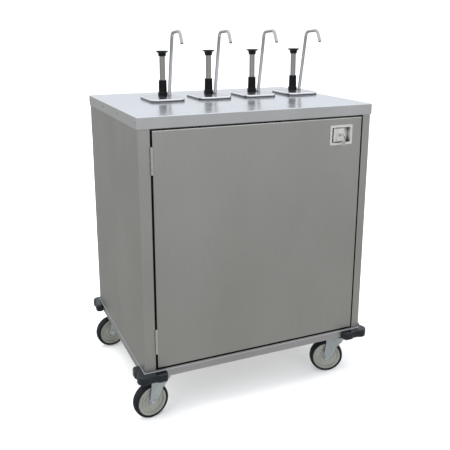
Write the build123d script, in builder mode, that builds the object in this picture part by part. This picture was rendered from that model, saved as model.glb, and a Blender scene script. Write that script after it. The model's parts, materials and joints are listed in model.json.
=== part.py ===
"""Mobile condiment pump cart.

A stainless cabinet on four swivel casters. Four hand pumps stand in fountain
jars that hang through the deck. Millimetres; +X right, +Y to the back, +Z up,
origin on the floor under the middle of the cart.
"""
import os
from math import atan2, cos, hypot, radians, sin

from build123d import *

os.makedirs("parts", exist_ok=True)

# ---- driving dimensions: cabinet ----
DECK_W, DECK_D, DECK_Z = 864.0, 662.0, 1050.0
APRON = 38.0
OVERHANG = 3.0
SHEET = 1.2
DECK_SHEET = 1.5
BODY_W = DECK_W - 2 * OVERHANG
BODY_D = DECK_D - 2 * OVERHANG
BODY_Z = 184.0
BODY_TOP = DECK_Z - DECK_SHEET
BEND_R = 3.0
FRONT_Y = -BODY_D / 2

# ---- doorway and door ----
DOORWAY_LEFT, DOORWAY_RIGHT = -390.0, 397.5
DOOR_LEFT, DOOR_RIGHT = -382.0, 392.5
DOOR_BOTTOM, DOOR_TOP = 193.5, 1005.0
DOOR_T = 20.0
JAMB_D = 28.0
STOP_Y = -304.0
STOP_T = 1.5
STOP_LIP = 14.0
SILL_H = 3.5

# ---- hinges ----
HINGE_X, HINGE_Y = -386.0, -332.0
HINGE_R, HINGE_PIN_R, HINGE_FIT = 4.6, 2.5, 0.05
HINGE_H = 88.0
HINGE_LEAF_T = 1.5
HINGE_LEAF_Y = (-326.0, -309.0)
KNUCKLES = 5
KNUCKLE_GAP = 0.3
HINGE_BOTTOMS = (BODY_Z + 66.0, DECK_Z - 183.0)

# ---- latch ----
LATCH_X, LATCH_Z = 309.0, DECK_Z - 104.5
BEZEL_W, BEZEL_H, BEZEL_T = 91.0, 70.0, 1.5
TRAY_W, TRAY_H, TRAY_D = 77.0, 56.0, 17.0
TRAY_T = 1.5
PADDLE_W, PADDLE_H, PADDLE_T = 44.0, 47.0, 5.0
PADDLE_PIN_X = LATCH_X - 28.0
PADDLE_FRONT = FRONT_Y + 1.0
PADDLE_PIN_R = 2.0
LOCK_X = LATCH_X - 3.0
LOCK_R, LOCK_BODY_R = 5.5, 8.0
BOLT_T, BOLT_H, BOLT_L = 10.0, 16.0, 41.0
BOLT_Y = -319.0
BOLT_GAP = 0.3

# ---- base ----
RAIL_H = 26.0
RAIL_Z = BODY_Z - RAIL_H
RAIL_FLANGE = 30.0
RAIL_T = 2.0
GUSSET_W, GUSSET_D, GUSSET_T = 130.0, 120.0, 3.0
BUMPER_OUT = 25.0
BUMPER_Z, BUMPER_H = 152.0, 30.0
BUMPER_FRONT_ARM, BUMPER_SIDE_ARM = 79.0, 67.0

# ---- casters ----
CASTER_X = 361.0
FRONT_CASTER_Y, REAR_CASTER_Y = -292.0, 262.0
TRAIL = 43.0
WHEEL_R, TREAD_W = 63.5, 32.0
HUB_R = 53.0
AXLE_R, AXLE_FIT = 5.0, 0.05
PLATE_W, PLATE_D, PLATE_T = 92.0, 67.0, 2.5
BOLT_SPAN_X, BOLT_SPAN_Y = 76.0, 45.0
PLATE_BOLT_R = 4.0
RACE_R, RACE_H = 26.0, 6.0
PIVOT_R, PIVOT_FIT = 8.0, 0.05
CROWN_R, CROWN_H = 33.0, 10.0
CROWN_GAP = 0.4
LEG_IN, LEG_T = 18.0, 3.0
# name, centre and the direction that the wheel trails in, in degrees from +X
CASTERS = (
    ("front_left", -CASTER_X, FRONT_CASTER_Y, 190.0),
    ("front_right", CASTER_X, FRONT_CASTER_Y, 160.0),
    ("rear_left", -CASTER_X, REAR_CASTER_Y, 188.0),
    ("rear_right", CASTER_X, REAR_CASTER_Y, -10.0),
)

# ---- jars and pumps, heights above the deck ----
PUMPS = 4
PUMP_PITCH = 186.0
PUMP_ROW_X, JAR_Y = 62.0, 65.0
JAR_W, JAR_D, JAR_R, JAR_DEPTH = 112.0, 152.0, 22.0, 216.0
JAR_FLOOR_R = 12.0
CUTOUT_GAP = 1.0
FLANGE_W, FLANGE_D, FLANGE_R, FLANGE_T = 132.0, 170.0, 27.0, 1.5
LID_W, LID_D, LID_R, LID_TOP = 130.0, 168.0, 26.0, 12.0
LID_EDGE_R = 3.0
COLLAR_DX, COLLAR_DY = 17.0, 43.0
NECK_R, NECK_TOP, NECK_BORE = 13.0, 22.0, 11.0
COLLAR_R, COLLAR_FLANGE_TOP = 18.0, 24.0
SLEEVE_R, SLEEVE_TOP_R, SLEEVE_TOP = 15.4, 14.7, 69.0
PLUNGER_R, PLUNGER_FIT = 10.6, 0.08
KNOB_BOTTOM, KNOB_TOP, KNOB_R = 156.0, 177.0, 23.5
BARREL_R, BARREL_BORE, BARREL_BOTTOM = 17.0, 14.5, -188.0
BARREL_FLANGE_R, BARREL_FLANGE_T = 19.0, 4.0
PISTON_TOP, PISTON_T, PISTON_R = -8.0, 12.0, 14.1
FOOT_R, FOOT_H = 12.0, 8.0
SPRING_R, SPRING_WIRE, SPRING_TURNS = 11.0, 1.1, 9
TUBE_R, TUBE_BORE = 6.0, 4.9
TUBE_DX, TUBE_DY = 18.0, -22.0
TUBE_FOOT_Z = -176.0
TUBE_BOSS = 20.0
TUBE_NUT_AF, TUBE_NUT_H = 15.0, 5.0
RISER_BEND = 8.0
KNOB_SOCKET = 13.0


def write(part, name):
    """Label one finished piece and write it to its STEP file."""
    part.label = name
    export_step(part, f"parts/{name}.step")


def front_plane(y):
    """A plane facing the front of the cart, at depth y: its axes are X and Z."""
    return Plane.XZ.offset(-y)


JAR_XS = [PUMP_ROW_X + (n - (PUMPS - 1) / 2) * PUMP_PITCH for n in range(PUMPS)]
JAR_CENTRES = [(x, JAR_Y) for x in JAR_XS]

# ---- deck: a folded sheet with a turned-down apron and four jar cut-outs ----
RIVET_YS = [-315.0, -105.0, 105.0, 315.0]
RIVET_Z = DECK_Z - 16.0
RIVET_R, RIVET_HEAD_R, RIVET_HEAD_T = 2.0, 4.0, 1.8
rivet_plane = Plane.YZ.offset(DECK_W / 2)

with BuildPart() as deck_top:
    with BuildSketch(Plane.XY.offset(DECK_Z - APRON)):
        RectangleRounded(DECK_W, DECK_D, 2.5)
    extrude(amount=APRON)
    fillet(deck_top.faces().sort_by(Axis.Z)[-1].edges(), 2.4)
    offset(amount=-DECK_SHEET, openings=deck_top.faces().sort_by(Axis.Z)[0])
    with BuildSketch(Plane.XY.offset(DECK_Z)):
        with Locations(*JAR_CENTRES):
            RectangleRounded(JAR_W + 2 * CUTOUT_GAP, JAR_D + 2 * CUTOUT_GAP, JAR_R + CUTOUT_GAP)
    extrude(amount=-2 * DECK_SHEET, mode=Mode.SUBTRACT)
    with BuildSketch(rivet_plane):
        with Locations(*[(y, RIVET_Z) for y in RIVET_YS]):
            Circle(RIVET_R)
    extrude(amount=-DECK_W, mode=Mode.SUBTRACT)
write(deck_top.part, "deck_top")

# ---- cabinet wrap: one sheet round the sides and back, folded in at the doorway ----
with BuildPart() as cabinet_wrap:
    with BuildSketch(Plane.XY.offset(BODY_Z)):
        RectangleRounded(BODY_W, BODY_D, BEND_R)
        RectangleRounded(BODY_W - 2 * SHEET, BODY_D - 2 * SHEET, BEND_R - SHEET, mode=Mode.SUBTRACT)
        with Locations(((DOORWAY_LEFT + DOORWAY_RIGHT) / 2, FRONT_Y)):
            Rectangle(DOORWAY_RIGHT - DOORWAY_LEFT, 4 * SHEET, mode=Mode.SUBTRACT)
        with Locations((DOORWAY_LEFT - SHEET / 2, FRONT_Y + JAMB_D / 2),
                       (DOORWAY_RIGHT + SHEET / 2, FRONT_Y + JAMB_D / 2)):
            Rectangle(SHEET, JAMB_D)
    extrude(amount=BODY_TOP - BODY_Z)
    with BuildSketch(rivet_plane):
        with Locations(*[(y, RIVET_Z) for y in RIVET_YS]):
            Circle(RIVET_R)
    extrude(amount=-DECK_W, mode=Mode.SUBTRACT)
    # slot in the right-hand jamb that the lock's bolt enters
    with BuildSketch(Plane.YZ.offset(DOORWAY_RIGHT)):
        with Locations((BOLT_Y, LATCH_Z)):
            Rectangle(BOLT_T + 2, BOLT_H + 2)
    extrude(amount=2 * SHEET, mode=Mode.SUBTRACT)
write(cabinet_wrap.part, "cabinet_wrap")

# ---- rivets through the side aprons ----
with BuildPart() as deck_rivets:
    with BuildSketch(rivet_plane):
        with Locations(*[(y, RIVET_Z) for y in RIVET_YS]):
            Circle(RIVET_HEAD_R)
    extrude(amount=RIVET_HEAD_T)
    fillet(deck_rivets.faces().sort_by(Axis.X)[-4:].edges(), RIVET_HEAD_T * 0.9)
    with BuildSketch(rivet_plane):
        with Locations(*[(y, RIVET_Z) for y in RIVET_YS]):
            Circle(RIVET_R)
    extrude(amount=-(OVERHANG + SHEET + 1.5))
    mirror(about=Plane.YZ)
write(deck_rivets.part, "deck_rivets")

# ---- front frame: door stop, header behind the apron and sill under the door ----
DOORWAY_MID = (DOORWAY_LEFT + DOORWAY_RIGHT) / 2
DOORWAY_W = DOORWAY_RIGHT - DOORWAY_LEFT
HEADER_Z = DECK_Z - APRON
STOP_BOTTOM, STOP_TOP = BODY_Z + STOP_LIP, DOOR_TOP - STOP_LIP
with BuildPart() as front_frame:
    with BuildSketch(front_plane(STOP_Y)):
        with Locations((DOORWAY_MID, (BODY_Z + BODY_TOP) / 2)):
            Rectangle(DOORWAY_W, BODY_TOP - BODY_Z)
        with Locations((DOORWAY_MID, (STOP_BOTTOM + STOP_TOP) / 2)):
            Rectangle(DOORWAY_W - 2 * STOP_LIP, STOP_TOP - STOP_BOTTOM, mode=Mode.SUBTRACT)
    extrude(amount=-STOP_T)
    with BuildSketch(front_plane(FRONT_Y)):
        with Locations((DOORWAY_MID, (HEADER_Z + BODY_TOP) / 2)):
            Rectangle(DOORWAY_W, BODY_TOP - HEADER_Z)
    extrude(amount=-SHEET)
    with BuildSketch(front_plane(FRONT_Y)):
        with Locations((DOORWAY_MID, HEADER_Z + SHEET / 2)):
            Rectangle(DOORWAY_W, SHEET)
        with Locations((DOORWAY_MID, BODY_Z + SILL_H / 2)):
            Rectangle(DOORWAY_W, SILL_H)
    extrude(amount=FRONT_Y - STOP_Y)
write(front_frame.part, "front_frame")

# ---- bottom pan: the cabinet's floor, with turned-up edges ----
PAN_FRONT = FRONT_Y + JAMB_D + 0.5
PAN_BACK = BODY_D / 2 - SHEET
with BuildPart() as bottom_pan:
    with BuildSketch(Plane((0, (PAN_FRONT + PAN_BACK) / 2, BODY_Z))):
        RectangleRounded(BODY_W - 2 * SHEET, PAN_BACK - PAN_FRONT, BEND_R)
    extrude(amount=12)
    offset(amount=-SHEET, openings=bottom_pan.faces().sort_by(Axis.Z)[-1])
write(bottom_pan.part, "bottom_pan")

# ---- base frame: a welded channel rail with a gusset plate over each caster ----
RAIL_W, RAIL_D = DECK_W, DECK_D
PIVOTS = [(x, y) for _, x, y, _ in CASTERS]
PLATE_HOLES = [(x + bx, y + by)
               for x, y in PIVOTS
               for bx in (-BOLT_SPAN_X / 2, BOLT_SPAN_X / 2)
               for by in (-BOLT_SPAN_Y / 2, BOLT_SPAN_Y / 2)]
with BuildPart() as base_frame:
    with BuildSketch(Plane.XY.offset(RAIL_Z)):
        RectangleRounded(RAIL_W, RAIL_D, 3)
        Rectangle(RAIL_W - 2 * RAIL_FLANGE, RAIL_D - 2 * RAIL_FLANGE, mode=Mode.SUBTRACT)
    extrude(amount=RAIL_H)
    with BuildSketch(Plane.XY.offset(RAIL_Z + RAIL_T)):
        Rectangle(RAIL_W - 2 * RAIL_T, RAIL_D - 2 * RAIL_T)
    extrude(amount=RAIL_H - 2 * RAIL_T, mode=Mode.SUBTRACT)
    fillet(base_frame.faces().sort_by(Axis.Z)[-1].outer_wire().edges(), 1.8)
    with BuildSketch(Plane.XY.offset(RAIL_Z)):
        with GridLocations(RAIL_W - GUSSET_W, RAIL_D - GUSSET_D, 2, 2):
            Rectangle(GUSSET_W - 2, GUSSET_D - 2)
    extrude(amount=GUSSET_T)
    with BuildSketch(Plane.XY.offset(RAIL_Z)):
        with Locations(*PLATE_HOLES):
            Circle(PLATE_BOLT_R)
    extrude(amount=GUSSET_T, mode=Mode.SUBTRACT)
write(base_frame.part, "base_frame")

# ---- corner bumpers: two bulged arms and a round corner lobe, mirrored to four ----
CORNER_X, CORNER_Y = -RAIL_W / 2, -RAIL_D / 2
ARM_T = 19.0
BULGE_L = 42.0
WAIST_R = 7.0
with BuildPart() as corner_bumpers:
    with BuildSketch(Plane((CORNER_X, CORNER_Y, BUMPER_Z))):
        with Locations((1, 1)):
            Circle(BUMPER_OUT + 1)
        with Locations((BUMPER_FRONT_ARM / 2 - 8, -ARM_T / 2)):
            Rectangle(BUMPER_FRONT_ARM - 16, ARM_T)
        with Locations((-ARM_T / 2, BUMPER_SIDE_ARM / 2 - 8)):
            Rectangle(ARM_T, BUMPER_SIDE_ARM - 16)
        with Locations((BUMPER_FRONT_ARM - BULGE_L / 2, 0)):
            RectangleRounded(BULGE_L, 2 * BUMPER_OUT, 12)
        with Locations((0, BUMPER_SIDE_ARM - BULGE_L / 2)):
            RectangleRounded(2 * BUMPER_OUT, BULGE_L, 12)
        # growing and shrinking the outline rounds the waists between the bulges
        offset(amount=WAIST_R)
        offset(amount=-WAIST_R)
        with Locations((50, 50)):
            Rectangle(100, 100, mode=Mode.SUBTRACT)
    extrude(amount=BUMPER_H)
    # ease every top and bottom edge except those against the rail
    rims = corner_bumpers.edges().filter_by(Axis.Z, reverse=True)
    fillet([e for e in rims
            if e.center().X < CORNER_X - 0.01 or e.center().Y < CORNER_Y - 0.01], 3.5)
    mirror(about=Plane.YZ)
    mirror(about=Plane.XZ)
write(corner_bumpers.part, "corner_bumpers")


# ---- hinges ----
def knuckle_spans(bottom, first):
    """Heights of every second knuckle of a hinge that starts at bottom."""
    pitch = HINGE_H / KNUCKLES
    return [(bottom + n * pitch + KNUCKLE_GAP / 2, pitch - KNUCKLE_GAP)
            for n in range(first, KNUCKLES, 2)]


def hinge_leaves(first, leaf_x, bore_r):
    """The leaves and knuckles on one side of both hinges."""
    leaf_mid = leaf_x + HINGE_LEAF_T / 2
    tab_back = HINGE_LEAF_Y[0] + 1
    with BuildPart() as leaves:
        for bottom in HINGE_BOTTOMS:
            with BuildSketch(Plane.XY.offset(bottom)):
                with Locations((leaf_mid, sum(HINGE_LEAF_Y) / 2)):
                    Rectangle(HINGE_LEAF_T, HINGE_LEAF_Y[1] - HINGE_LEAF_Y[0])
            extrude(amount=HINGE_H)
            for z, height in knuckle_spans(bottom, first):
                with BuildSketch(Plane.XY.offset(z)):
                    with Locations((HINGE_X, HINGE_Y)):
                        Circle(HINGE_R)
                    with Locations((leaf_mid, (HINGE_Y + tab_back) / 2)):
                        Rectangle(HINGE_LEAF_T, tab_back - HINGE_Y)
                    with Locations((HINGE_X, HINGE_Y)):
                        Circle(bore_r, mode=Mode.SUBTRACT)
                extrude(amount=height)
    return leaves.part


with BuildPart() as hinge_pins:
    for bottom in HINGE_BOTTOMS:
        with BuildSketch(Plane((HINGE_X, HINGE_Y, bottom - 1))):
            Circle(HINGE_PIN_R)
        extrude(amount=HINGE_H + 2)

frame_leaves = hinge_leaves(0, DOORWAY_LEFT, HINGE_PIN_R)
write(Compound(children=[*frame_leaves.solids(), *hinge_pins.part.solids()]), "hinge_frame_leaves")
write(hinge_leaves(1, DOOR_LEFT - HINGE_LEAF_T, HINGE_PIN_R + HINGE_FIT), "door_hinge_leaves")

# ---- door: a folded outer shell closed at the back by a liner sheet ----
DOOR_MID = ((DOOR_LEFT + DOOR_RIGHT) / 2, (DOOR_BOTTOM + DOOR_TOP) / 2)
DOOR_W, DOOR_H = DOOR_RIGHT - DOOR_LEFT, DOOR_TOP - DOOR_BOTTOM
with BuildPart() as door_shell:
    with BuildSketch(front_plane(FRONT_Y)):
        with Locations(DOOR_MID):
            RectangleRounded(DOOR_W, DOOR_H, 1.5)
    extrude(amount=-DOOR_T)
    fillet(door_shell.faces().sort_by(Axis.Y)[0].edges(), 1.4)
    offset(amount=-SHEET, openings=door_shell.faces().sort_by(Axis.Y)[-1])
    with BuildSketch(front_plane(FRONT_Y)):
        with Locations((LATCH_X, LATCH_Z)):
            Rectangle(TRAY_W, TRAY_H)
    extrude(amount=-3, mode=Mode.SUBTRACT)
    with BuildSketch(Plane.YZ.offset(DOOR_RIGHT + 1)):
        with Locations((BOLT_Y, LATCH_Z)):
            Rectangle(BOLT_T + 2, BOLT_H + 2)
    extrude(amount=-5, mode=Mode.SUBTRACT)
write(door_shell.part, "door_shell")

with BuildPart() as door_liner:
    with BuildSketch(front_plane(FRONT_Y + DOOR_T - SHEET)):
        with Locations(DOOR_MID):
            Rectangle(DOOR_W - 2 * SHEET - 0.6, DOOR_H - 2 * SHEET - 0.6)
    extrude(amount=-SHEET)
write(door_liner.part, "door_liner")

# ---- latch: bezel with its recessed tray and the guide that the bolt runs in ----
PADDLE_PIN_Y = PADDLE_FRONT + PADDLE_T / 2
GUIDE_L = 24.0
with BuildPart() as latch_bezel:
    with BuildSketch(front_plane(FRONT_Y - BEZEL_T)):
        with Locations((LATCH_X, LATCH_Z)):
            RectangleRounded(BEZEL_W, BEZEL_H, 3)
    extrude(amount=-BEZEL_T)
    fillet(latch_bezel.faces().sort_by(Axis.Y)[0].edges(), 0.8)
    with BuildSketch(front_plane(FRONT_Y)):
        with Locations((LATCH_X, LATCH_Z)):
            Rectangle(TRAY_W, TRAY_H)
    extrude(amount=-TRAY_D)
    with BuildSketch(Plane.YZ.offset(LATCH_X + TRAY_W / 2)):
        with Locations((BOLT_Y, LATCH_Z)):
            Rectangle(BOLT_T + 4, BOLT_H + 6)
    extrude(amount=GUIDE_L)
    with BuildSketch(front_plane(FRONT_Y - BEZEL_T)):
        with Locations((LATCH_X, LATCH_Z)):
            RectangleRounded(TRAY_W - 2 * TRAY_T, TRAY_H - 2 * TRAY_T, 2)
    extrude(amount=-(TRAY_D + BEZEL_T - TRAY_T), mode=Mode.SUBTRACT)
    with BuildSketch(Plane.YZ.offset(LATCH_X + TRAY_W / 2 + GUIDE_L)):
        with Locations((BOLT_Y, LATCH_Z)):
            Rectangle(BOLT_T + 2 * BOLT_GAP, BOLT_H + 2 * BOLT_GAP)
    extrude(amount=-(GUIDE_L - 1), mode=Mode.SUBTRACT)
    with BuildSketch(Plane((PADDLE_PIN_X, PADDLE_PIN_Y, LATCH_Z - TRAY_H / 2 - 1))):
        Circle(PADDLE_PIN_R + 0.05)
    extrude(amount=TRAY_H + 2, mode=Mode.SUBTRACT)
write(latch_bezel.part, "latch_bezel")

# paddle plate on its vertical pivot pin, with the lock's body behind it
PADDLE_LEFT = PADDLE_PIN_X - PADDLE_T / 2
with BuildPart() as latch_paddle:
    with BuildSketch(front_plane(PADDLE_FRONT)):
        with Locations((PADDLE_LEFT + PADDLE_W / 2, LATCH_Z)):
            RectangleRounded(PADDLE_W, PADDLE_H, 2)
    extrude(amount=-PADDLE_T)
    fillet(latch_paddle.faces().sort_by(Axis.Y)[0].edges(), 1)
    with BuildSketch(front_plane(PADDLE_FRONT)):
        with Locations((LOCK_X, LATCH_Z)):
            Circle(LOCK_BODY_R)
    extrude(amount=-(PADDLE_T + 7))
    with BuildSketch(front_plane(PADDLE_FRONT)):
        with Locations((LOCK_X, LATCH_Z)):
            Circle(LOCK_R + 0.05)
    extrude(amount=-(PADDLE_T + 7), mode=Mode.SUBTRACT)
    with BuildSketch(Plane((PADDLE_PIN_X, PADDLE_PIN_Y, LATCH_Z - TRAY_H / 2 + 0.2))):
        Circle(PADDLE_PIN_R)
    extrude(amount=TRAY_H - 0.4)
write(latch_paddle.part, "latch_paddle")

# lock plug with its key, and a split ring and blank tag hanging from the key
KEY_T, KEY_BLADE_W, KEY_OUT, KEY_BOW_R = 2.2, 7.0, 9.0, 9.0
PLUG_FRONT = PADDLE_FRONT - 1.5
BOW_Y = PLUG_FRONT - KEY_OUT - KEY_BOW_R + 2
RING_R, RING_WIRE = 8.0, 0.8
TAG_W, TAG_H, TAG_T = 15.0, 21.0, 1.4
RING_Y, RING_Z = BOW_Y - 1.5, LATCH_Z - RING_R - 1.0
TAG_Z = RING_Z - RING_R - TAG_H / 2 + 2.0
key_plane = Plane((LOCK_X, 0, 0), x_dir=(0, 1, 0), z_dir=(1, 0, 0))
with BuildPart() as lock_plug:
    with BuildSketch(front_plane(PLUG_FRONT)):
        with Locations((LOCK_X, LATCH_Z)):
            Circle(LOCK_R)
    extrude(amount=-13)
    fillet(lock_plug.faces().sort_by(Axis.Y)[0].edges(), 0.6)
    with BuildSketch(key_plane):
        with Locations((PLUG_FRONT - KEY_OUT / 2 + 1, LATCH_Z)):
            Rectangle(KEY_OUT + 2, KEY_BLADE_W)
        with Locations((BOW_Y, LATCH_Z)):
            Circle(KEY_BOW_R)
        with Locations((BOW_Y - 4.5, LATCH_Z)):
            Circle(2.2, mode=Mode.SUBTRACT)
    extrude(amount=KEY_T / 2, both=True)
with BuildPart() as key_tag:
    with BuildSketch(front_plane(RING_Y - 3 - TAG_T / 2)):
        with Locations((LOCK_X, TAG_Z)):
            RectangleRounded(TAG_W, TAG_H, 3.5)
        with Locations((LOCK_X, TAG_Z + TAG_H / 2 - 3.5)):
            Circle(1.6, mode=Mode.SUBTRACT)
    extrude(amount=-TAG_T)
with BuildPart() as key_ring:
    with BuildSketch(Plane((LOCK_X, RING_Y - 3, RING_Z + RING_R), x_dir=(0, 1, 0), z_dir=(1, 0, 0))):
        Circle(RING_WIRE)
    revolve(axis=Axis((LOCK_X, RING_Y - 3, RING_Z), (0, 1, 0)))
write(Compound(children=[lock_plug.part, key_ring.part, key_tag.part]), "lock_key")

# the lock's bolt, drawn back inside the door's edge
BOLT_TIP = DOOR_RIGHT - 1.0
with BuildPart() as latch_bolt:
    with BuildSketch(Plane.YZ.offset(BOLT_TIP)):
        with Locations((BOLT_Y, LATCH_Z)):
            RectangleRounded(BOLT_T, BOLT_H, 1)
    extrude(amount=-BOLT_L)
    chamfer(latch_bolt.faces().sort_by(Axis.X)[-1].edges(), 0.9)
write(latch_bolt.part, "latch_bolt")

# ---- caster plates, each with its swivel race, and the bolts that hold them ----
PLATE_Z = RAIL_Z - PLATE_T
RACE_Z = PLATE_Z - RACE_H
with BuildPart() as caster_plates:
    with BuildSketch(Plane.XY.offset(PLATE_Z)):
        with Locations(*PIVOTS):
            RectangleRounded(PLATE_W, PLATE_D, 6)
        with Locations(*PLATE_HOLES):
            Circle(PLATE_BOLT_R, mode=Mode.SUBTRACT)
    extrude(amount=PLATE_T)
    with BuildSketch(Plane.XY.offset(PLATE_Z)):
        with Locations(*PIVOTS):
            Circle(RACE_R)
    extrude(amount=-RACE_H)
    with BuildSketch(Plane.XY.offset(RACE_Z)):
        with Locations(*PIVOTS):
            Circle(PIVOT_R + PIVOT_FIT)
    extrude(amount=RACE_H + PLATE_T, mode=Mode.SUBTRACT)
BOLT_HEAD_H, BOLT_HEAD_AF = 5.0, 13.0
with BuildPart() as plate_bolts:
    with BuildSketch(Plane.XY.offset(PLATE_Z - BOLT_HEAD_H)):
        with Locations(*PLATE_HOLES):
            RegularPolygon(BOLT_HEAD_AF / 2, 6, major_radius=False)
    extrude(amount=BOLT_HEAD_H)
    with BuildSketch(Plane.XY.offset(PLATE_Z)):
        with Locations(*PLATE_HOLES):
            Circle(PLATE_BOLT_R)
    extrude(amount=PLATE_T + GUSSET_T)
    with BuildSketch(Plane.XY.offset(RAIL_Z + GUSSET_T)):
        with Locations(*PLATE_HOLES):
            RegularPolygon(BOLT_HEAD_AF / 2, 6, major_radius=False)
    extrude(amount=BOLT_HEAD_H + 1)
write(Compound(children=[*caster_plates.part.solids(), *plate_bolts.part.solids()]), "caster_plates")

# ---- casters ----
CROWN_TOP = RACE_Z - CROWN_GAP
WEB_T = 3.0
NUT_AF, NUT_H = 17.0, 7.0
# one fork leg, seen from the side: x from the swivel axis along the trail, z up
LEG_OUTLINE = [(TRAIL + 3, CROWN_TOP), (TRAIL + 6, 108), (TRAIL + 12.5, WHEEL_R + 3),
               (TRAIL - 12, WHEEL_R - 6), (TRAIL - 39, 108), (-15, 127), (-17, CROWN_TOP)]
# half of the hub's section: radius and distance from the wheel's middle plane
HUB_HALF = [(AXLE_R + AXLE_FIT, 17.4), (11, 17.4), (12.5, 14.5), (19, 12.5), (21, 14),
            (24, 14), (26, 9.5), (42, 8), (46.5, 13.5), (HUB_R, 14.5)]


def upright(base, y):
    """A plane in line with a caster's wheel, y to its left, with z up."""
    return Plane(base.from_local_coords((0, y, 0)), x_dir=base.x_dir, z_dir=-base.y_dir)


for name, caster_x, caster_y, trail_angle in CASTERS:
    turn = radians(trail_angle)
    base = Plane((caster_x, caster_y, 0), x_dir=(cos(turn), sin(turn), 0))
    # the wheel's section lies in the horizontal plane through the axle
    section = base.offset(WHEEL_R)
    axle_line = Axis(base.from_local_coords((TRAIL, 0, WHEEL_R)), base.y_dir)

    with BuildPart() as caster_fork:
        with BuildSketch(base.offset(CROWN_TOP)):
            Circle(CROWN_R)
        extrude(amount=-CROWN_H)
        fillet(caster_fork.faces().sort_by(Axis.Z)[-1].edges(), 2)
        with BuildSketch(base.offset(CROWN_TOP)):
            with Locations((15, 0)):
                Rectangle(61, 2 * (LEG_IN + LEG_T))
        extrude(amount=-WEB_T)
        for inner in (LEG_IN, -LEG_IN - LEG_T):
            with BuildSketch(upright(base, inner)):
                with BuildLine():
                    Polyline(*LEG_OUTLINE, close=True)
                make_face()
                with Locations((TRAIL, WHEEL_R)):
                    Circle(13)
                    Circle(AXLE_R, mode=Mode.SUBTRACT)
            extrude(amount=-LEG_T)
        with BuildSketch(base.offset(CROWN_TOP)):
            Circle(PIVOT_R)
        extrude(amount=RACE_H + 2)
    with BuildPart() as axle_bolt:
        with BuildSketch(upright(base, -LEG_IN - LEG_T - NUT_H)):
            with Locations((TRAIL, WHEEL_R)):
                Circle(AXLE_R)
        extrude(amount=-2 * (LEG_IN + LEG_T + NUT_H))
        for outer in (LEG_IN + LEG_T, -LEG_IN - LEG_T - NUT_H):
            with BuildSketch(upright(base, outer)):
                with Locations((TRAIL, WHEEL_R)):
                    RegularPolygon(NUT_AF / 2, 6, major_radius=False)
            extrude(amount=-NUT_H)
    write(Compound(children=[caster_fork.part, axle_bolt.part]), f"caster_fork_{name}")

    with BuildPart() as wheel_hub:
        with BuildSketch(section):
            with BuildLine():
                Polyline(*[(TRAIL + r, w) for r, w in HUB_HALF],
                         *[(TRAIL + r, -w) for r, w in reversed(HUB_HALF)], close=True)
            make_face()
        revolve(axis=axle_line)
    write(wheel_hub.part, f"wheel_hub_{name}")

    with BuildPart() as wheel_tyre:
        with BuildSketch(section):
            with Locations((TRAIL + (HUB_R + WHEEL_R) / 2, 0)):
                tread = Rectangle(WHEEL_R - HUB_R, TREAD_W)
            fillet(tread.vertices().sort_by_distance(section.origin)[-2:], 5)
        revolve(axis=axle_line)
    write(wheel_tyre.part, f"wheel_tyre_{name}")


# ---- jars and pumps ----
LEAN_BASE = (TUBE_DY, LID_TOP)
# discharge tube above the lid: y from the collar's axis and height above the deck
SPOUT_ROUTE = [LEAN_BASE, (-66, 243), (-146, 249), (-168, 207)]
SPOUT_RADII = (22, 26)
TUBE_REACH = hypot(TUBE_DX, TUBE_DY)
TUBE_ANGLE = atan2(TUBE_DY, TUBE_DX)
KNOB_SECTION = [(0, KNOB_BOTTOM), (12.6, KNOB_BOTTOM), (14.0, KNOB_BOTTOM + 3), (14.8, KNOB_BOTTOM + 10),
                (17.0, KNOB_BOTTOM + 13.5), (KNOB_R - 1, KNOB_BOTTOM + 16), (KNOB_R, KNOB_BOTTOM + 17.5),
                (KNOB_R - 0.6, KNOB_TOP - 1), (KNOB_R - 3, KNOB_TOP), (0, KNOB_TOP)]

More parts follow.
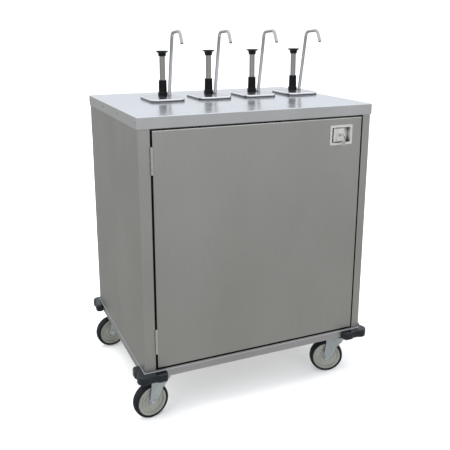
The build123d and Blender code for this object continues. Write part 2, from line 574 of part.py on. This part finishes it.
for number, (jar_x, jar_y) in enumerate(JAR_CENTRES, start=1):
    jar = Plane((jar_x, jar_y, DECK_Z))
    pump = Plane((jar_x + COLLAR_DX, jar_y + COLLAR_DY, DECK_Z))
    section = Plane(pump.origin, x_dir=(1, 0, 0), z_dir=(0, -1, 0))

    with BuildPart() as fountain_jar:
        with BuildSketch(jar):
            RectangleRounded(JAR_W, JAR_D, JAR_R)
        extrude(amount=-JAR_DEPTH)
        fillet(fountain_jar.faces().sort_by(Axis.Z)[0].edges(), JAR_FLOOR_R)
        offset(amount=-SHEET, openings=fountain_jar.faces().sort_by(Axis.Z)[-1])
        with BuildSketch(jar):
            RectangleRounded(FLANGE_W, FLANGE_D, FLANGE_R)
            RectangleRounded(JAR_W - 2 * SHEET, JAR_D - 2 * SHEET, JAR_R - SHEET, mode=Mode.SUBTRACT)
        extrude(amount=FLANGE_T)
    write(fountain_jar.part, f"fountain_jar_{number}")

    with BuildPart() as pump_lid:
        with BuildSketch(jar.offset(FLANGE_T)):
            RectangleRounded(LID_W, LID_D, LID_R)
        extrude(amount=LID_TOP - FLANGE_T)
        fillet(pump_lid.faces().sort_by(Axis.Z)[-1].edges(), LID_EDGE_R)
        offset(amount=-SHEET, openings=pump_lid.faces().sort_by(Axis.Z)[0])
        with BuildSketch(pump):
            Circle(NECK_R)
            with Locations((TUBE_DX, TUBE_DY)):
                Circle(TUBE_R + 1)
        extrude(amount=LID_TOP, mode=Mode.SUBTRACT)
    write(pump_lid.part, f"pump_lid_{number}")

    with BuildPart() as pump_collar:
        with BuildSketch(section):
            with BuildLine():
                Polyline((NECK_R, LID_TOP), (COLLAR_R, LID_TOP), (COLLAR_R, COLLAR_FLANGE_TOP - 2),
                         (COLLAR_R - 2, COLLAR_FLANGE_TOP), (SLEEVE_R, COLLAR_FLANGE_TOP + 1),
                         (SLEEVE_TOP_R, SLEEVE_TOP - 1.5), (SLEEVE_TOP_R - 1.5, SLEEVE_TOP),
                         (PLUNGER_R + PLUNGER_FIT, SLEEVE_TOP), (PLUNGER_R + PLUNGER_FIT, NECK_TOP),
                         (NECK_R, NECK_TOP), close=True)
            make_face()
        revolve(axis=Axis(pump.origin, (0, 0, 1)))
        # ribbed sleeve and scalloped flange
        with BuildSketch(pump.offset(COLLAR_FLANGE_TOP + 3)):
            with PolarLocations(SLEEVE_R, 20):
                Rectangle(2.4, 1.6)
        extrude(amount=SLEEVE_TOP - COLLAR_FLANGE_TOP - 6, mode=Mode.SUBTRACT)
        with BuildSketch(pump.offset(LID_TOP + 2)):
            with PolarLocations(COLLAR_R + 1.2, 12):
                Circle(2.2)
        extrude(amount=COLLAR_FLANGE_TOP, mode=Mode.SUBTRACT)
    write(pump_collar.part, f"pump_collar_{number}")

    with BuildPart() as pump_knob:
        with BuildSketch(section):
            with BuildLine():
                Polyline(*KNOB_SECTION, close=True)
            make_face()
        revolve(axis=Axis(pump.origin, (0, 0, 1)))
        with BuildSketch(pump.offset(KNOB_BOTTOM)):
            Circle(PLUNGER_R)
        extrude(amount=KNOB_SOCKET, mode=Mode.SUBTRACT)
    write(pump_knob.part, f"pump_knob_{number}")

    with BuildPart() as pump_plunger:
        with BuildSketch(pump.offset(PISTON_TOP - PISTON_T)):
            Circle(PISTON_R)
        extrude(amount=PISTON_T)
        with BuildSketch(pump.offset(PISTON_TOP)):
            Circle(PLUNGER_R)
        extrude(amount=KNOB_BOTTOM + KNOB_SOCKET - PISTON_TOP)
    write(pump_plunger.part, f"pump_plunger_{number}")

    # cylinder: flange under the lid, threaded neck through it, barrel, foot and outlet boss
    flange_top = LID_TOP - SHEET
    outlet = Plane(pump.from_local_coords((0, 0, TUBE_FOOT_Z)),
                   x_dir=(-sin(TUBE_ANGLE), cos(TUBE_ANGLE), 0),
                   z_dir=(cos(TUBE_ANGLE), sin(TUBE_ANGLE), 0))
    with BuildPart() as pump_cylinder:
        with BuildSketch(pump.offset(flange_top)):
            Circle(BARREL_FLANGE_R)
        extrude(amount=-BARREL_FLANGE_T)
        with BuildSketch(pump.offset(flange_top)):
            Circle(NECK_R)
        extrude(amount=NECK_TOP - flange_top)
        with BuildSketch(pump.offset(BARREL_BOTTOM)):
            Circle(BARREL_R)
        extrude(amount=flange_top - BARREL_FLANGE_T - BARREL_BOTTOM)
        with BuildSketch(pump.offset(BARREL_BOTTOM)):
            Circle(FOOT_R)
        extrude(amount=-FOOT_H)
        with BuildSketch(outlet.offset(BARREL_R - 4)):
            Circle(TUBE_R + 1.5)
        extrude(amount=TUBE_BOSS - BARREL_R + 4)
        with BuildSketch(pump.offset(BARREL_BOTTOM + 4)):
            Circle(BARREL_BORE)
        extrude(amount=flange_top - BARREL_FLANGE_T - 1 - BARREL_BOTTOM - 4, mode=Mode.SUBTRACT)
        with BuildSketch(pump.offset(BARREL_BOTTOM + 4)):
            Circle(NECK_BORE)
        extrude(amount=NECK_TOP - BARREL_BOTTOM, mode=Mode.SUBTRACT)
        with BuildSketch(pump.offset(BARREL_BOTTOM - FOOT_H)):
            Circle(TUBE_BORE)
        extrude(amount=FOOT_H + 6, mode=Mode.SUBTRACT)
        with BuildSketch(outlet.offset(BARREL_R - 4)):
            Circle(TUBE_BORE)
        extrude(amount=10, mode=Mode.SUBTRACT)
    write(pump_cylinder.part, f"pump_cylinder_{number}")

    # return spring between the cylinder's floor and the piston
    spring_bottom = BARREL_BOTTOM + 4 + SPRING_WIRE
    spring_height = PISTON_TOP - PISTON_T - SPRING_WIRE - 0.5 - spring_bottom
    coil = Helix(spring_height / SPRING_TURNS, spring_height, SPRING_R,
                 center=pump.from_local_coords((0, 0, spring_bottom)))
    with BuildPart() as pump_spring:
        with BuildSketch(Plane(coil @ 0, z_dir=coil % 0)):
            Circle(SPRING_WIRE)
        sweep(path=coil, is_frenet=True)
    write(pump_spring.part, f"pump_spring_{number}")

    # discharge tube: down the inside of the jar, up through the lid and over the front
    riser_plane = Plane(pump.origin, x_dir=(cos(TUBE_ANGLE), sin(TUBE_ANGLE), 0),
                        z_dir=(sin(TUBE_ANGLE), -cos(TUBE_ANGLE), 0))
    spout_plane = Plane(pump.from_local_coords((TUBE_DX, 0, 0)), x_dir=(0, 1, 0), z_dir=(1, 0, 0))
    with BuildLine(riser_plane) as riser:
        FilletPolyline((TUBE_REACH, LID_TOP), (TUBE_REACH, TUBE_FOOT_Z), (TUBE_BOSS, TUBE_FOOT_Z),
                       radius=RISER_BEND)
    with BuildLine(spout_plane) as spout:
        FilletPolyline(*SPOUT_ROUTE, radius=SPOUT_RADII)
    with BuildPart() as discharge_tube:
        for path in (riser, spout):
            with BuildSketch(Plane(path.line @ 0, z_dir=path.line % 0)):
                Circle(TUBE_R)
            sweep(path=path.line)
        with BuildSketch(Plane(pump.from_local_coords((TUBE_DX, TUBE_DY, LID_TOP)))):
            RegularPolygon(TUBE_NUT_AF / 2, 6, major_radius=False)
        extrude(amount=TUBE_NUT_H)
        for path in (riser, spout):
            with BuildSketch(Plane(path.line @ 0, z_dir=path.line % 0)):
                Circle(TUBE_BORE)
            sweep(path=path.line, mode=Mode.SUBTRACT)
    write(discharge_tube.part, f"discharge_tube_{number}")
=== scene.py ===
"""Looks of the condiment pump cart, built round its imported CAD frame.

Metres, with +Z up and the door facing -Y.
"""
import json
from math import cos, pi, radians, sin

import bmesh
import bpy
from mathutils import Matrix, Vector


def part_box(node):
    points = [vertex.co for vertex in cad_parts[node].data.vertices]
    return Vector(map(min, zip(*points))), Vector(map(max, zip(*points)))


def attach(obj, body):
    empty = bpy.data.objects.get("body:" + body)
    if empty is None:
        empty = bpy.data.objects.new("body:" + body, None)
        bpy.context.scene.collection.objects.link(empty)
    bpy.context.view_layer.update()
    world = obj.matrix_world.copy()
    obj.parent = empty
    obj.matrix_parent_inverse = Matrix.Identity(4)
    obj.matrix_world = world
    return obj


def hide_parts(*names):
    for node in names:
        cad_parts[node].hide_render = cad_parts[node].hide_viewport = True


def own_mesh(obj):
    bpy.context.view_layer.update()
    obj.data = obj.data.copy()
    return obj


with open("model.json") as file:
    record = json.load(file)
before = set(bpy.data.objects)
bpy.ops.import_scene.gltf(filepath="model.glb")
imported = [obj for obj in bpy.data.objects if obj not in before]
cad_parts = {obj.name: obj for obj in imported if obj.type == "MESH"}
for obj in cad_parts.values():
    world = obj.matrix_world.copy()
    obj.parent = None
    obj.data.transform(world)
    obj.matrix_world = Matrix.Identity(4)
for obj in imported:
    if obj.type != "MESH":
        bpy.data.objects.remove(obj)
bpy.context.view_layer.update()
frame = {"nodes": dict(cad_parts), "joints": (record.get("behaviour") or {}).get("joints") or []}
nodes = frame["nodes"]
joints = {joint["name"]: joint for joint in frame["joints"]}
scene = bpy.context.scene

MM = 0.001
PUMPS = (1, 2, 3, 4)
CORNERS = ("front_left", "front_right", "rear_left", "rear_right")


# ---------------------------------------------------------------- material tools
class Shader:
    """A new node material with its Principled shader and short calls to add nodes."""

    def __init__(self, name, colour, roughness, metallic=0.0):
        self.material = bpy.data.materials.new(name)
        self.material.use_nodes = True
        self.tree = self.material.node_tree
        self.main = self.tree.nodes["Principled BSDF"]
        self.set(Metallic=metallic, Roughness=roughness)
        self.main.inputs["Base Color"].default_value = (*colour, 1)
        self.coords = self.add("ShaderNodeTexCoord").outputs["Object"]

    def set(self, **values):
        """Set sockets of the Principled shader, with _ for each space in a socket's name."""
        for key, value in values.items():
            self.main.inputs[key.replace("_", " ")].default_value = value

    def add(self, kind, inputs=None, **values):
        """A new node, with its input values by name and its settings."""
        node = self.tree.nodes.new(kind)
        for key, value in values.items():
            setattr(node, key, value)
        for key, value in (inputs or {}).items():
            node.inputs[key].default_value = value
        return node

    def link(self, source, target):
        self.tree.links.new(source, target)

    def paint(self, tone):
        """Make a colour output the base colour, and keep it for later bands."""
        self.tone = tone
        self.link(tone, self.main.inputs["Base Color"])

    def stretched(self, scale):
        """Object coordinates scaled by a different amount along each axis."""
        mapping = self.add("ShaderNodeMapping", {"Scale": scale})
        self.link(self.coords, mapping.inputs["Vector"])
        return mapping.outputs["Vector"]

    def noise(self, vector, scale=1.0, detail=3.0, roughness=0.55):
        node = self.add("ShaderNodeTexNoise", {"Scale": scale, "Detail": detail, "Roughness": roughness})
        self.link(vector, node.inputs["Vector"])
        return node.outputs["Fac"]

    def remap(self, value, low, high, start=0.3, stop=0.7):
        """Low where the value is at start or less, high where it is at stop or more."""
        node = self.add("ShaderNodeMapRange",
                        {"From Min": start, "From Max": stop, "To Min": low, "To Max": high})
        self.link(value, node.inputs["Value"])
        return node.outputs["Result"]

    def mix(self, factor, first, second):
        """A colour between two; each is a colour triple or another node's output."""
        node = self.add("ShaderNodeMix", data_type="RGBA")
        self.link(factor, node.inputs["Factor"])
        for value, socket in ((first, node.inputs["A"]), (second, node.inputs["B"])):
            if isinstance(value, tuple):
                socket.default_value = (*value, 1)
            else:
                self.link(value, socket)
        return node.outputs["Result"]

    def bump(self, height, distance, strength):
        node = self.add("ShaderNodeBump", {"Distance": distance, "Strength": strength})
        self.link(height, node.inputs["Height"])
        self.link(node.outputs["Normal"], self.main.inputs["Normal"])

    def band(self, axis, low, high):
        """0 where the coordinate along the axis is below low and 1 where it is above high."""
        split = self.add("ShaderNodeSeparateXYZ")
        self.link(self.coords, split.inputs["Vector"])
        return self.remap(split.outputs[axis], 0, 1, low, high)

    def shaded_in_gaps(self, tone, reach, dark):
        """The tone, with painted shade that darkens it in gaps and corners narrower than the reach."""
        corner = self.add("ShaderNodeAmbientOcclusion", {"Distance": reach}, samples=8)
        return self.mix(self.remap(corner.outputs["AO"], 0, 1, 0.30, 0.75), dark, tone)


def shade(colour, factor):
    return tuple(min(1.0, c * factor) for c in colour)


def brushed_steel(name, colour, roughness, along, spread=0.06, bump=0.00002, reach=0.012):
    """Satin stainless with fine brushing along one axis, broad cloudiness, faint smears and painted
    shade in gaps.
    """
    s = Shader(name, colour, roughness, metallic=1.0)
    fine = tuple(14 if axis == along else 900 for axis in "XYZ")
    grain = s.noise(s.stretched(fine), detail=4)
    cloud = s.noise(s.coords, scale=2.6, detail=3)
    smear = s.noise(s.stretched((5, 5, 1.6)), detail=5, roughness=0.65)
    tone = s.mix(s.remap(cloud, 0, 1), shade(colour, 1 - spread), shade(colour, 1 + spread))
    tone = s.mix(s.remap(grain, 0, 0.35), tone, shade(colour, 0.82))
    # painted shade: the tone goes near-black in gaps and corners narrower than the reach
    s.paint(s.shaded_in_gaps(tone, reach, shade(colour, 0.06)))
    s.link(s.remap(smear, roughness - 0.05, roughness + 0.08), s.main.inputs["Roughness"])
    s.bump(grain, bump, 0.5)
    return s


def moulded(name, colour, roughness, grain_scale, grain_depth, edge_highlight=None, metallic=0.0):
    """Moulded plastic, rubber or plated metal: fine grain, cloudy tone, painted shade in crevices and,
    if asked, paler edges as a painted highlight.
    """
    s = Shader(name, colour, roughness, metallic)
    cloud = s.noise(s.coords, scale=18, detail=5)
    tone = s.mix(s.remap(cloud, 0, 1), shade(colour, 0.86), shade(colour, 1.14))
    # paler pointy edges: a painted highlight
    if edge_highlight:
        edge = s.add("ShaderNodeNewGeometry").outputs["Pointiness"]
        tone = s.mix(s.remap(edge, 0, 0.75, 0.515, 0.58), tone, edge_highlight)
    # painted shade: the tone darkens in crevices narrower than 7 mm
    s.paint(s.shaded_in_gaps(tone, 0.007, shade(colour, 0.35)))
    patch = s.noise(s.coords, scale=60, detail=4)
    s.link(s.remap(patch, roughness - 0.06, roughness + 0.09), s.main.inputs["Roughness"])
    s.bump(s.noise(s.coords, scale=grain_scale, detail=2), grain_depth, 0.6)
    return s


def plain(name, colour):
    """Matt paint that hardly varies."""
    s = Shader(name, colour, 0.9)
    cloud = s.noise(s.coords, scale=0.5, detail=1)
    s.paint(s.mix(s.remap(cloud, 0, 1), shade(colour, 0.99), colour))
    return s


# ---------------------------------------------------------------- the cart's materials
PANEL = (0.60, 0.60, 0.575)
DECK = (0.90, 0.92, 0.95)
LID = (0.80, 0.80, 0.82)
FINE = 0.000003                  # depth of the brushing on polished metal

# every steel below has painted shade in gaps narrower than its reach
panel_steel = brushed_steel("panel_steel", PANEL, 0.42, "Z")
door_steel = brushed_steel("door_steel", shade(PANEL, 0.97), 0.44, "Z", spread=0.04)
deck_steel = brushed_steel("deck_steel", DECK, 0.22, "X", spread=0.02, bump=0.000005)
lid_steel = brushed_steel("lid_steel", LID, 0.22, "Y", spread=0.04, bump=0.00001)
jar_steel = brushed_steel("jar_steel", (0.66, 0.66, 0.66), 0.30, "Z")
rail_steel = brushed_steel("rail_steel", (0.66, 0.66, 0.67), 0.36, "X", spread=0.09)
tube_steel = brushed_steel("tube_steel", (0.62, 0.62, 0.61), 0.22, "Z", bump=0.000004)
bright_steel = brushed_steel("bright_steel", (0.62, 0.62, 0.61), 0.20, "Z", spread=0.04, bump=FINE)
latch_steel = brushed_steel("latch_steel", (0.97, 0.97, 0.95), 0.26, "X", spread=0.03, reach=0.022)
plunger_steel = brushed_steel("plunger_steel", (0.64, 0.64, 0.63), 0.14, "Z", spread=0.04, bump=FINE)
hinge_steel = brushed_steel("hinge_steel", (0.88, 0.88, 0.87), 0.22, "Z", spread=0.03, bump=FINE,
                            reach=0.003)
zinc = moulded("zinc_plate", (0.50, 0.54, 0.56), 0.32, 500, 0.00002, metallic=0.85)
# the hub and the bumpers get paler pointy edges as a painted highlight
hub_plastic = moulded("hub_plastic", (0.21, 0.215, 0.19), 0.36, 900, 0.00004, edge_highlight=(0.40, 0.41, 0.38))
tyre_rubber = moulded("tyre_rubber", (0.006, 0.007, 0.009), 0.52, 700, 0.00006)
bumper_rubber = moulded("bumper_rubber", (0.003, 0.005, 0.007), 0.17, 1100, 0.000005,
                        edge_highlight=(0.02, 0.03, 0.04))
black_plastic = moulded("black_plastic", (0.004, 0.0045, 0.005), 0.30, 1200, 0.00002)

for dark in (black_plastic, tyre_rubber):
    dark.set(Specular_IOR_Level=0.22)
latch_steel.set(Metallic=0.88)
bumper_rubber.set(Specular_IOR_Level=0.6)

# the lid's foot gets a dark painted shadow, the rolled rim a white painted highlight, and the satin top
# keeps the lid's own colour
LID_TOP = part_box("pump_lid_1")[1][2]
LID_FOOT_SHADOW = (LID_TOP - 0.0062, LID_TOP - 0.0052)
LID_RIM_HIGHLIGHT = (LID_TOP - 0.0052, LID_TOP - 0.0042)
LID_CROWN = (LID_TOP - 0.0004, LID_TOP - 0.0001)
lid_steel.paint(lid_steel.mix(lid_steel.band("Z", *LID_RIM_HIGHLIGHT), lid_steel.tone, (1.0, 1.0, 1.0)))
lid_steel.paint(lid_steel.mix(lid_steel.band("Z", *LID_CROWN), lid_steel.tone, LID))
lid_steel.paint(lid_steel.mix(lid_steel.band("Z", *LID_FOOT_SHADOW), (0.10, 0.10, 0.11), lid_steel.tone))

# the door's folded top edge gets a painted highlight band, as if it caught the light
DOOR_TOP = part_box("door_shell")[1][2]
door_edge_highlight = door_steel.band("Z", DOOR_TOP - 0.0035, DOOR_TOP - 0.002)
door_steel.paint(door_steel.mix(door_edge_highlight, door_steel.tone, (0.95, 0.95, 0.93)))


def dress(shader, *names):
    """Give CAD nodes a material, keeping their shape."""
    for name in names:
        materials = nodes[name].data.materials
        materials.clear()
        materials.append(shader.material)


dress(deck_steel, "deck_top")
dress(panel_steel, "cabinet_wrap", "front_frame", "bottom_pan", "door_liner")
dress(door_steel, "door_shell")
dress(rail_steel, "base_frame")
dress(bumper_rubber, "corner_bumpers")
dress(bright_steel, "deck_rivets")
dress(hinge_steel, "hinge_frame_leaves", "door_hinge_leaves", "lock_key")
dress(latch_steel, "latch_bezel", "latch_paddle")
dress(zinc, "caster_plates", "latch_bolt")
for n in PUMPS:
    dress(jar_steel, f"fountain_jar_{n}", f"pump_cylinder_{n}", f"pump_spring_{n}")
    dress(lid_steel, f"pump_lid_{n}")
    dress(black_plastic, f"pump_collar_{n}", f"pump_knob_{n}")
    dress(plunger_steel, f"pump_plunger_{n}")
    dress(tube_steel, f"discharge_tube_{n}")
for corner in CORNERS:
    dress(zinc, f"caster_fork_{corner}")
    dress(hub_plastic, f"wheel_hub_{corner}")
    dress(tyre_rubber, f"wheel_tyre_{corner}")


# ---------------------------------------------------------------- shape tools
def circle(radius, around):
    """Points round the Z axis, as x and y."""
    return [(radius * cos(a), radius * sin(a)) for a in (2 * pi * k / around for k in range(around))]


def bridge(mesh, low, high):
    """Faces between two rings of equal length; a ring may be one point repeated."""
    around = len(low)
    for k in range(around):
        corners = [low[k], low[(k + 1) % around], high[(k + 1) % around], high[k]]
        corners = list(dict.fromkeys(corners))
        if len(corners) > 2:
            mesh.faces.new(corners)


def add_piece(name, data):
    piece = bpy.data.objects.new(name, data)
    scene.collection.objects.link(piece)
    return piece


def stand_in(piece, body, node):
    """Let a piece ride on a body and take the place of a CAD node."""
    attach(piece, body)
    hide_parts(node)


def millimetres(points):
    return [(x * MM, y * MM) for x, y in points]


def both_sides(half):
    """The whole outline of a wheel part from the half on one side of its middle."""
    return millimetres(half + [(r, -w) for r, w in reversed(half) if w > 0])


def rounded(points, radius, closed=False):
    """The outline with each corner cut into a short curve, up to radius from the corner."""
    steps = 4
    out = []
    count = len(points)
    for i, (x, y) in enumerate(points):
        if not closed and i in (0, count - 1):
            out.append((x, y))
            continue
        here = Vector((x, y))
        before, after = Vector(points[i - 1]) - here, Vector(points[(i + 1) % count]) - here
        reach = min(radius, before.length * 0.48, after.length * 0.48)
        start, stop = here + before.normalized() * reach, here + after.normalized() * reach
        for k in range(steps + 1):
            t = k / steps
            out.append(tuple(start * (1 - t) ** 2 + here * 2 * t * (1 - t) + stop * t ** 2))
    return out


def turned(name, outline, origin, axis, shader, closed=False):
    """A solid of revolution: the outline gives radius and distance along the axis."""
    around, sharp = 96, radians(38)
    turn = Vector((0, 0, 1)).rotation_difference(Vector(axis)).to_matrix()
    mesh = bmesh.new()
    rings = []
    for r, h in outline:
        if r < 1e-6:
            rings.append([mesh.verts.new(turn @ Vector((0, 0, h)) + Vector(origin))] * around)
        else:
            rings.append([mesh.verts.new(turn @ Vector((x, y, h)) + Vector(origin))
                          for x, y in circle(r, around)])
    pairs = list(zip(rings, rings[1:])) + ([(rings[-1], rings[0])] if closed else [])
    for low, high in pairs:
        bridge(mesh, low, high)
    bmesh.ops.recalc_face_normals(mesh, faces=mesh.faces)
    for edge in mesh.edges:
        edge.smooth = len(edge.link_faces) == 2 and edge.calc_face_angle() < sharp
    for face in mesh.faces:
        face.smooth = True
    data = bpy.data.meshes.new(name)
    mesh.to_mesh(data)
    mesh.free()
    data.materials.append(shader.material)
    return add_piece(name, data)


def softened(name, node, shader, voxel, passes):
    """A moulded copy of a CAD node: remeshed finely and smoothed, so that its edges roll over."""
    piece = add_piece(name, nodes[node].data.copy())
    piece.data.materials.clear()
    piece.data.materials.append(shader.material)
    remesh = piece.modifiers.new("skin", "REMESH")
    remesh.mode, remesh.voxel_size, remesh.use_smooth_shade = "VOXEL", voxel, True
    smooth = piece.modifiers.new("roll", "SMOOTH")
    smooth.factor, smooth.iterations = 0.5, passes
    shown = bpy.context.evaluated_depsgraph_get()
    data = bpy.data.meshes.new_from_object(piece.evaluated_get(shown))
    piece.modifiers.clear()
    piece.data = data
    return piece


# ---------------------------------------------------------------- turned and moulded pieces
# outlines in mm: radius, then height above the foot or distance from the wheel's middle
KNOB_OUTLINE = [(10.6, 0), (12.4, 0), (13.8, 1.8), (14.4, 4.5), (14.7, 9.5), (16.0, 12.8), (19.8, 15.2),
                (22.6, 16.3), (23.45, 17.4), (23.2, 19.0), (21.6, 20.2), (16.0, 20.8), (0, 20.95)]
HUB_HALF = [(5.05, 17.4), (9.5, 17.4), (11.0, 16.6), (12.4, 13.0), (18.0, 11.4), (19.6, 13.9),
            (23.6, 13.9), (25.2, 7.6), (31.0, 6.8), (32.0, 8.8), (35.0, 8.8), (36.0, 6.8), (43.0, 7.4),
            (45.0, 12.2), (46.4, 14.4), (49.4, 14.9), (50.2, 13.2), (51.6, 13.2), (52.2, 14.4),
            (52.95, 14.0)]
TYRE_HALF = [(53.0, 15.2), (54.2, 15.9), (57.2, 15.95), (59.0, 15.4), (59.8, 15.6), (61.6, 13.4),
             (62.9, 9.0), (63.4, 4.5), (63.5, 0.0)]
CAP_OUTLINE = [(9.9, 0), (9.9, 2.2), (9.0, 4.6), (6.6, 6.2), (3.4, 6.9), (0, 7.1)]
LEG_FACE = 21.0                  # mm from the wheel's middle to the outside of the fork's leg

for n in PUMPS:
    low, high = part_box(f"pump_knob_{n}")
    foot = ((low[0] + high[0]) / 2, (low[1] + high[1]) / 2, low[2])
    outline = rounded(millimetres(KNOB_OUTLINE), 1.6 * MM)
    knob = turned(f"knob_{n}", outline, foot, (0, 0, 1), black_plastic)
    stand_in(knob, f"plunger_{n}", f"pump_knob_{n}")

for corner in CORNERS:
    spin = joints[f"wheel_spin_{corner}"]
    outline = rounded(both_sides(HUB_HALF), 0.9 * MM, closed=True)
    hub = turned(f"hub_{corner}", outline, spin["pos_m"], spin["axis"], hub_plastic, closed=True)
    stand_in(hub, f"wheel_{corner}", f"wheel_hub_{corner}")
    outline = rounded(both_sides(TYRE_HALF), 0.8 * MM, closed=True)
    tyre = turned(f"tyre_{corner}", outline, spin["pos_m"], spin["axis"], tyre_rubber, closed=True)
    stand_in(tyre, f"wheel_{corner}", f"wheel_tyre_{corner}")

# domed caps over the axle's head and nut
for corner in CORNERS:
    spin = joints[f"wheel_spin_{corner}"]
    for side in (1, -1):
        out = Vector(spin["axis"]) * side
        seat = Vector(spin["pos_m"]) + out * LEG_FACE * MM
        outline = rounded(millimetres(CAP_OUTLINE), 1.5 * MM)
        cap = turned(f"axle_cap_{corner}_{side}", outline, seat, out, hinge_steel)
        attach(cap, f"swivel_{corner}")

bumpers = softened("moulded_bumpers", "corner_bumpers", bumper_rubber, 1.6 * MM, 14)
stand_in(bumpers, "cabinet", "corner_bumpers")

# the return springs, as copies riding on the pumps' bodies
for n in PUMPS:
    spring = nodes[f"pump_spring_{n}"]
    low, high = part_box(spring.name)
    coil = add_piece(f"coil_{n}", spring.data.copy())
    coil.matrix_world = spring.matrix_world.copy()
    stand_in(coil, f"pump_{n}", spring.name)
    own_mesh(coil)


# ---------------------------------------------------------------- stage, light and camera
def sweep_floor():
    """Round pale floor that curves up into a wall all round the cart."""
    radius, bend, wall, steps, around = 6.0, 1.5, 3.5, 12, 96
    section = [(radius - bend, 0.0)]
    section += [(radius - bend + bend * sin(a), bend - bend * cos(a))
                for a in (pi / 2 * k / steps for k in range(1, steps + 1))]
    section.append((radius, wall))
    mesh = bmesh.new()
    rings = [[mesh.verts.new((x, y, z)) for x, y in circle(r, around)] for r, z in section]
    mesh.faces.new(rings[0])
    for low, high in zip(rings, rings[1:]):
        bridge(mesh, low, high)
    bmesh.ops.recalc_face_normals(mesh, faces=mesh.faces)
    data = bpy.data.meshes.new("studio_floor")
    mesh.to_mesh(data)
    mesh.free()
    for face in data.polygons:
        face.use_smooth = True
    floor = add_piece("studio_floor", data)
    paint = plain("studio_white", (0.86, 0.86, 0.86))
    paint.set(Emission_Color=(1, 1, 1, 1), Emission_Strength=0.12)
    data.materials.append(paint.material)
    floor.visible_glossy = False


def studio_world():
    """Grey light from below, white from above the horizon, and more of both from the front."""
    ground, ground_height = (0.40, 0.40, 0.39, 1), 0.02
    sky, sky_height = (0.92, 0.95, 1.0, 1), 0.11
    front_strength, rear_strength = 0.99, 0.90
    world = bpy.data.worlds.new("studio")
    scene.world = world
    world.use_nodes = True
    tree = world.node_tree
    back = tree.nodes["Background"]
    coords = tree.nodes.new("ShaderNodeTexCoord")
    split = tree.nodes.new("ShaderNodeSeparateXYZ")
    ramp = tree.nodes.new("ShaderNodeValToRGB")
    strength = tree.nodes.new("ShaderNodeMapRange")
    tree.links.new(coords.outputs["Generated"], split.inputs["Vector"])
    tree.links.new(split.outputs["Z"], ramp.inputs["Fac"])
    tree.links.new(split.outputs["Y"], strength.inputs["Value"])
    tree.links.new(strength.outputs["Result"], back.inputs["Strength"])
    tree.links.new(ramp.outputs["Color"], back.inputs["Color"])
    for socket, value in (("From Min", -1.0), ("From Max", 1.0),
                          ("To Min", front_strength), ("To Max", rear_strength)):
        strength.inputs[socket].default_value = value
    low, high = ramp.color_ramp.elements
    low.position, low.color = ground_height, ground
    high.position, high.color = sky_height, sky


def softbox(name, place, target, width, height, power):
    """An area light aimed at a point; metal doesn't mirror it."""
    light = bpy.data.lights.new(name, "AREA")
    light.shape = "RECTANGLE"
    light.size, light.size_y = width, height
    light.energy = power
    box = add_piece(name, light)
    box.location = place
    box.rotation_euler = (Vector(target) - Vector(place)).to_track_quat("-Z", "Y").to_euler()
    box.visible_glossy = False


def add_camera():
    """Camera with its focal length and centre in pixels of a square picture."""
    picture, focal, centre = 450, 637.2, (219.4, 185.0)
    place, turn, tilt = (-0.9592, -2.1886, 1.3302), radians(23.34), radians(14.37)
    data = bpy.data.cameras.new("camera")
    data.sensor_width = 36.0
    data.lens = focal / picture * data.sensor_width
    data.shift_x = (picture / 2 - centre[0]) / picture
    data.shift_y = (centre[1] - picture / 2) / picture
    camera = add_piece("camera", data)
    camera.location = place
    camera.rotation_euler = (pi / 2 - tilt, 0, -turn)
    scene.camera = camera


scene.view_settings.view_transform = "Standard"
sweep_floor()
studio_world()
softbox("key_above", (-0.6, 0.4, 3.6), (0, 0, 0.4), 3.2, 3.2, 130)
softbox("fill_left", (-3.2, -1.6, 1.8), (0, 0, 0.7), 1.6, 2.2, 30)
for name, place in (("low_left", (-4.0, 0.5, 0.9)), ("low_right", (4.0, -0.5, 0.9)),
                    ("low_front", (1.0, -4.5, 0.9)), ("low_rear", (-1.0, 4.5, 0.9))):
    softbox(name, place, (0, 0, 0.1), 4.0, 1.6, 70)
add_camera()
